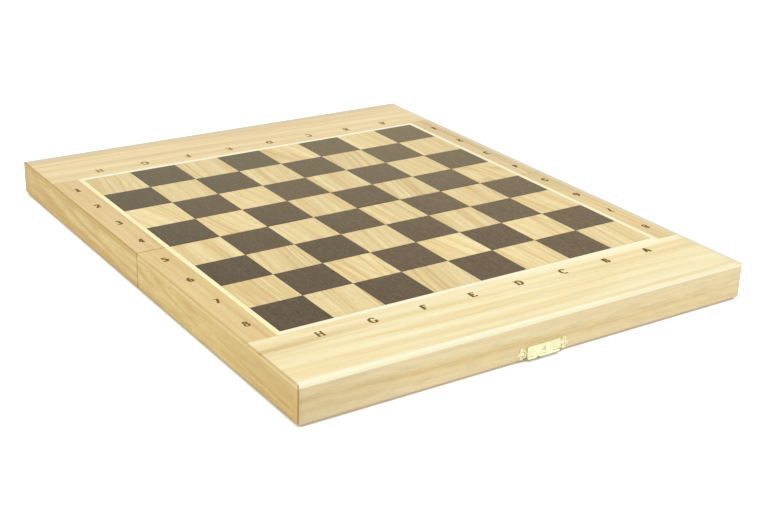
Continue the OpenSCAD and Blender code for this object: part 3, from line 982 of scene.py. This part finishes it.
# %% Brass nodes
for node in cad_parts:
    if node.startswith(("hasp", "keeper")):
        dress(node, clasp_brass)
    elif node.endswith("screws"):
        dress(node, screw_brass)
    elif "hinge" in node:
        dress(node, hinge_brass)

# %% [markdown]
# ## Letters and numbers
#
# The columns are lettered H to A from left to right, and the rows are numbered 1 to 8 from the far
# end, on all four rails. The sets on the near and the left rails read from the near end, and those on
# the far and the right rails from the far end. They are thin Roman capitals burnt into the veneer,
# about seven millimetres tall.
#
# A stroke is a ribbon: a line of points with a half width at each one. Stems are thick, hairlines
# thin, and a bowl is thick where it runs upright and thin where it lies flat, which is what a broad
# pen does. Each ribbon becomes a very thin closed slab, sunk into the veneer so that only a film
# of it stands proud. The signs are drawn one unit tall and get their real height when they are placed.

# %% Strokes
stem = 0.162
hair = 0.088
arc_points = 25


def line(x0, y0, x1, y1, w=hair):
    """A straight stroke between two points: centre line, and half width at each end."""
    return np.array([(x0, y0), (x1, y1)], float), np.array([w, w])


def bowl(cx, cy, rx, ry, first, last, weight=1.0):
    """Part of an ellipse between two angles, thin where it lies flat.

    The half width is weight (hair + (stem - hair) |cos(angle)|^1.5).
    """
    angle = np.radians(np.linspace(first, last, arc_points))
    path = np.stack([cx + rx * np.cos(angle), cy + ry * np.sin(angle)], axis=1)
    return path, weight * (hair + (stem - hair) * np.abs(np.cos(angle)) ** 1.5)


def post(x, low=0.0, high=1.0):
    """An upright stem."""
    return line(x, low, x, high, stem)


def foot(x, y, left=0.15, right=0.15):
    """A serif: a short flat hairline, set in by its own half width."""
    inner = y + hair if y < 0.5 else y - hair
    return line(x - left, inner, x + right, inner)


def pillar(low, high):
    """The stem of B, D, E and F, with serifs that reach low and high to its right."""
    return [post(0.16), foot(0.16, 0, 0.15, low), foot(0.16, 1, 0.15, high)]


print("a stem is", round(stem / hair, 2), "hairlines wide")

# %% Glyphs
glyphs = {
    "A": [line(0.08, 0, 0.38, 1, hair * 1.5), line(0.38, 1, 0.7, 0, stem * 1.3), line(0.17, 0.33, 0.58, 0.33),
          foot(0.08, 0, 0.1, 0.12), foot(0.68, 0, 0.14, 0.12)],
    "B": pillar(0.2, 0.2) + [line(0.16, 0.52, 0.34, 0.52), bowl(0.32, 0.75, 0.2, 0.225, -90, 90),
                             bowl(0.34, 0.275, 0.25, 0.25, -90, 90)],
    "C": [bowl(0.42, 0.5, 0.36, 0.475, 48, 312), line(0.68, 0.7, 0.68, 0.96)],
    "D": pillar(0.2, 0.2) + [bowl(0.32, 0.5, 0.4, 0.475, -90, 90)],
    "E": pillar(0.46, 0.42) + [line(0.16, 0.52, 0.46, 0.52), line(0.46, 0.42, 0.46, 0.62),
                               line(0.6, 0.76, 0.6, 1), line(0.64, 0, 0.64, 0.25)],
    "F": pillar(0.18, 0.42) + [line(0.16, 0.52, 0.44, 0.52), line(0.44, 0.42, 0.44, 0.62),
                               line(0.58, 0.76, 0.58, 1)],
    "G": [bowl(0.42, 0.5, 0.36, 0.475, 48, 318), line(0.67, 0.72, 0.67, 0.96), post(0.68, 0.06, 0.42),
          line(0.54, 0.42, 0.82, 0.42)],
    "H": [line(0.14, 0, 0.14, 1, stem * 0.68), line(0.66, 0, 0.66, 1, stem * 0.68),
          line(0.14, 0.52, 0.66, 0.52), foot(0.14, 0), foot(0.14, 1), foot(0.66, 0), foot(0.66, 1)],
    "1": [line(0.3, 0, 0.3, 1, stem * 1.15), foot(0.3, 0, 0.26, 0.26),
          line(0.06, 0.78, 0.3, 0.93, hair * 1.3)],
    "2": [bowl(0.3, 0.73, 0.21, 0.245, 165, -30), line(0.49, 0.62, 0.1, 0.06, hair * 1.6),
          line(0.08, 0.045, 0.54, 0.045, 0.045), line(0.53, 0.05, 0.55, 0.22)],
    "3": [bowl(0.28, 0.77, 0.19, 0.205, 150, -90), bowl(0.27, 0.29, 0.24, 0.265, 90, -150)],
    "4": [post(0.42), line(0.42, 0.98, 0.08, 0.3), line(0.06, 0.3, 0.58, 0.3), foot(0.42, 0, 0.12, 0.12)],
    "5": [line(0.16, 0.91, 0.56, 0.91, 0.09), line(0.16, 0.96, 0.13, 0.55, hair * 1.4),
          bowl(0.27, 0.31, 0.24, 0.285, 125, -150, 1.25)],
    "6": [bowl(0.31, 0.3, 0.2, 0.275, 0, 360), bowl(0.52, 0.44, 0.42, 0.535, 100, 190)],
    "7": [line(0.1, 0.93, 0.54, 0.93, 0.07), line(0.53, 0.93, 0.24, 0, stem * 0.9)],
    "8": [bowl(0.3, 0.76, 0.16, 0.215, 0, 360, 0.8), bowl(0.3, 0.28, 0.21, 0.255, 0, 360, 0.8)],
}
print("glyphs:", len(glyphs))

# %% Ribbons to slabs
def slab(path, half, low, high):
    """A ribbon as a closed slab: at each point of the path, its two edges at the low and the high level.

    The edge is the point plus or minus its half width along the normal, which is the path's own
    direction turned by a quarter.
    """
    run = np.gradient(path, axis=0)
    run /= np.linalg.norm(run, axis=1, keepdims=True)
    normal = np.stack([-run[:, 1], run[:, 0]], axis=1) * half[:, None]
    sides = [path - normal, path + normal]
    levels = np.ones((len(path), 1))
    loops = [np.hstack([sides[0], levels * low]), np.hstack([sides[0], levels * high]),
             np.hstack([sides[1], levels * high]), np.hstack([sides[1], levels * low])]
    points = np.stack(loops, axis=1).reshape(-1, 3)
    at = np.arange(len(path) - 1)[:, None, None] * 4
    corner = np.arange(4)[None, :, None]
    turned = (corner + 1) % 4
    quads = np.concatenate([at + corner, at + corner + 4, at + turned + 4, at + turned], axis=2)
    last = (len(path) - 1) * 4
    ends = np.array([[0, 1, 2, 3], [last + 3, last + 2, last + 1, last]])
    return points, np.vstack([quads.reshape(-1, 4), ends])


print("a straight stroke has", len(slab(*post(0.0), 0.0, 1.0)[1]), "faces")

# %% Pieces
def gathered(parts):
    """Several meshes as one: their points end to end, and their faces counted on."""
    counts = np.cumsum([0] + [len(points) for points, _ in parts[:-1]])
    points = np.vstack([points for points, _ in parts])
    faces = [[int(i + count) for i in face] for (_, faces), count in zip(parts, counts) for face in faces]
    return points, faces


def piece(name, points, faces, body, material):
    """A finished mesh at its place, which rides on a body."""
    mesh = bpy.data.meshes.new(name)
    mesh.from_pydata(points.tolist(), [], faces)
    mesh.materials.append(material)
    made = bpy.data.objects.new(name, mesh)
    bpy.context.scene.collection.objects.link(made)
    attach(made, body)
    print(name, len(mesh.polygons), "faces")

# %% [markdown]
# The strokes of a letter cross. Each one ends a thousandth of a millimetre lower than the one
# before it, so that no two faces share a plane and flicker. A letter is set with its middle on the
# middle of its square, and the sets on the far and right rails are turned by half a turn.

# %% Placing the letters
cap = 6.9 * mm
film = 0.014 * mm
sunk = 0.06 * mm
thinner = 0.001 * mm
letter_out = 15.6 * mm
number_out = 13.4 * mm


def glyph(letter, x, y, turned):
    """One letter as slabs, with the middle of its box at (x, y)."""
    strokes = glyphs[letter]
    everything = np.vstack([path for path, _ in strokes])
    middle = np.array([(everything[:, 0].min() + everything[:, 0].max()) / 2, 0.5])
    turn = -1.0 if turned else 1.0
    parts = []
    for number, (path, half) in enumerate(strokes):
        placed = (path - middle) * cap * turn + np.array([x, y])
        parts.append(slab(placed, half * cap, top - sunk, top + film - number * thinner))
    return gathered(parts)


columns = [(letter, (i - (squares - 1) / 2) * square) for i, letter in enumerate("HGFEDCBA")]
rows = [(number, ((squares - 1) / 2 - i) * square) for i, number in enumerate("12345678")]
edge = field / 2
marks = {half: [] for half in halves}
for letter, x in columns:
    marks["front"].append(glyph(letter, x, -edge - letter_out, False))
    marks["rear"].append(glyph(letter, x, edge + letter_out, True))
for number, y in rows:
    half = "rear" if y > 0 else "front"
    marks[half].append(glyph(number, -edge - number_out, y, False))
    marks[half].append(glyph(number, edge + number_out, y, True))
print("letters and numbers:", {half: len(marks[half]) for half in halves})

# %% [markdown]
# Burnt wood isn't black: the iron leaves a brown that is deeper where it rested longer, and the
# grain breaks it up. It was cooler for the set at the far end, which is fainter.

# %% Burnt marks
def burnt(start):
    """Two browns in uneven spots, and a paler one over them at the far end."""
    place = object_xyz(start)
    uneven = streaks(place, 0.0011, 0.0011, 0.0, 3.0)
    colour = blend(start, paint("#6b5325"), paint("#987c40"), step(uneven, 0.35, 0.75))
    colour = tinted(colour, "#c2a768", step(place[1], edge + 5 * mm, edge + 10 * mm) * 0.4)
    return colour, uneven * 0.3 + 0.45, uneven


burnt_wood = lacquered("burnt wood", burnt, coat=0.1)
for half in halves:
    points, faces = gathered(marks[half])
    piece(f"{half}_marks", points, faces, f"{half}_half", burnt_wood)

# %% [markdown]
# ## Stamping on the clasp
#
# The ears of the clasp plates are stamped with small domes: one on each lobe and a ring of beads
# round each nail. A dome is a grid of rings and spokes, whose height is one minus the square of the
# distance from its middle. A press would raise them from behind. Here each one is a closed shell
# that stands a little inside the plate, and all of them together make one piece for each plate.

# %% Domes
def dome(x, z, radius, height, circles=4, spokes=14):
    """A dome that faces -Y, with a fan of triangles as its back.

    At a share r of its radius its height is h (1 - r^2).
    """
    r = np.linspace(1.0, 0.0, circles + 1)[:-1]
    a = np.linspace(0, 2 * np.pi, spokes, endpoint=False)
    r, a = np.meshgrid(r, a, indexing="ij")
    shell = np.stack([x + radius * r * np.cos(a), -height * (1 - r ** 2), z + radius * r * np.sin(a)], axis=2)
    points = np.vstack([shell.reshape(-1, 3), [[x, -height, z]], [[x, height / 2, z]]])
    circle, spoke = np.meshgrid(np.arange(circles - 1) * spokes, np.arange(spokes), indexing="ij")
    after = (spoke + 1) % spokes
    inner = circle + spokes
    quads = np.stack([circle + spoke, circle + after, inner + after, inner + spoke], axis=2)
    last = (circles - 1) * spokes
    crown, back = len(points) - 2, len(points) - 1
    fans = [[last + i, last + (i + 1) % spokes, crown] for i in range(spokes)]
    fans += [[(i + 1) % spokes, i, back] for i in range(spokes)]
    return points, quads.reshape(-1, 4).tolist() + fans


print("dome:", len(dome(0, 0, 1, 1)[1]), "faces")

# %% Stamping
plate_face = half_l + 0.7 * mm
lobe_out = 3.4 * mm
bead_out = 2.35 * mm
beads = 10

domes = []
for side in (-1, 1):
    for turn in np.radians([-70, 0, 70]):
        x, z = side * (ear_x + lobe_out * np.cos(turn)), ear_z + lobe_out * np.sin(turn)
        domes.append(dome(x, z, 0.85 * mm, 0.3 * mm))
    for turn in np.arange(beads) * 2 * np.pi / beads:
        x, z = side * ear_x + bead_out * np.cos(turn), ear_z + bead_out * np.sin(turn)
        domes.append(dome(x, z, 0.42 * mm, 0.2 * mm, 3, 10))
points, faces = gathered(domes)
points = points - (0, plate_face, 0)
piece("hasp_stamping", points, faces, "front_half", polished_brass)
piece("keeper_stamping", points * (-1, -1, 1), faces, "rear_half", polished_brass)
